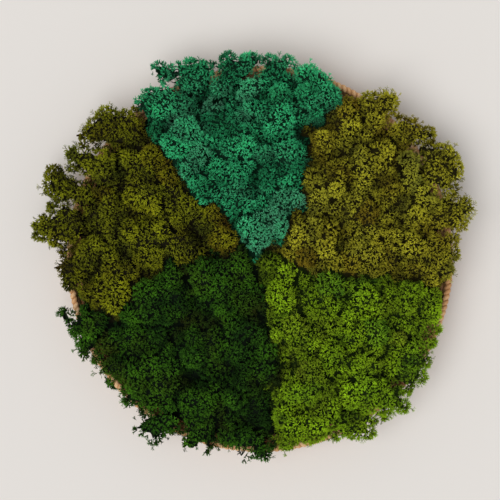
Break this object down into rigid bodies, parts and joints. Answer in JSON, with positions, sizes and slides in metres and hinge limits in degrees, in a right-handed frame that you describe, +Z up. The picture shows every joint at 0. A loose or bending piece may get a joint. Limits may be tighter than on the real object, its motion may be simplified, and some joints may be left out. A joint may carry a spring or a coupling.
{
  "type": "moss tray",
  "caption": "Round wicker tray heaped with preserved, dyed reindeer moss in teal, olive, lime, forest green and khaki sections, as a table or wall decoration.",
  "frame": {"origin": "middle of the tray's underside, where it rests", "axes": "+Z up out of the tray; +Y towards the middle of the teal section; +X to the olive and lime sections"},
  "size_m": [0.4025, 0.3736, 0.0838],
  "materials": {
    "teal": "matt, blue-green dyed lichen",
    "olive": "matt, yellow-olive dyed lichen",
    "lime": "matt, yellow-green dyed lichen",
    "forest": "matt, dark green dyed lichen",
    "khaki": "matt, brown-olive dyed lichen",
    "wicker": "satin, peeled willow or rattan"
  },
  "bodies": {
    "root": {"forest_moss_01": "forest", "forest_moss_02": "forest", "forest_moss_03": "forest", "forest_moss_04": "forest", "forest_moss_05": "forest", "forest_moss_06": "forest", "forest_moss_07": "forest", "forest_moss_08": "forest", "forest_moss_09": "forest", "forest_moss_10": "forest", "forest_moss_11": "forest", "khaki_moss_01": "khaki", "khaki_moss_02": "khaki", "khaki_moss_03": "khaki", "khaki_moss_04": "khaki", "khaki_moss_05": "khaki", "khaki_moss_06": "khaki", "khaki_moss_07": "khaki", "khaki_moss_08": "khaki", "khaki_moss_09": "khaki", "khaki_moss_10": "khaki", "lime_moss_01": "lime", "lime_moss_02": "lime", "lime_moss_03": "lime", "lime_moss_04": "lime", "lime_moss_05": "lime", "lime_moss_06": "lime", "lime_moss_07": "lime", "lime_moss_08": "lime", "lime_moss_09": "lime", "lime_moss_10": "lime", "lime_moss_11": "lime", "lime_moss_12": "lime", "olive_moss_01": "olive", "olive_moss_02": "olive", "olive_moss_03": "olive", "olive_moss_04": "olive", "olive_moss_05": "olive", "olive_moss_06": "olive", "olive_moss_07": "olive", "olive_moss_08": "olive", "olive_moss_09": "olive", "olive_moss_10": "olive", "olive_moss_11": "olive", "olive_moss_12": "olive", "teal_moss_01": "teal", "teal_moss_02": "teal", "teal_moss_03": "teal", "teal_moss_04": "teal", "teal_moss_05": "teal", "teal_moss_06": "teal", "teal_moss_07": "teal", "teal_moss_08": "teal", "teal_moss_09": "teal", "teal_moss_10": "teal", "teal_moss_11": "teal", "tray_border": "wicker", "tray_floor": "wicker", "tray_wall": "wicker"}
  },
  "joints": []
}
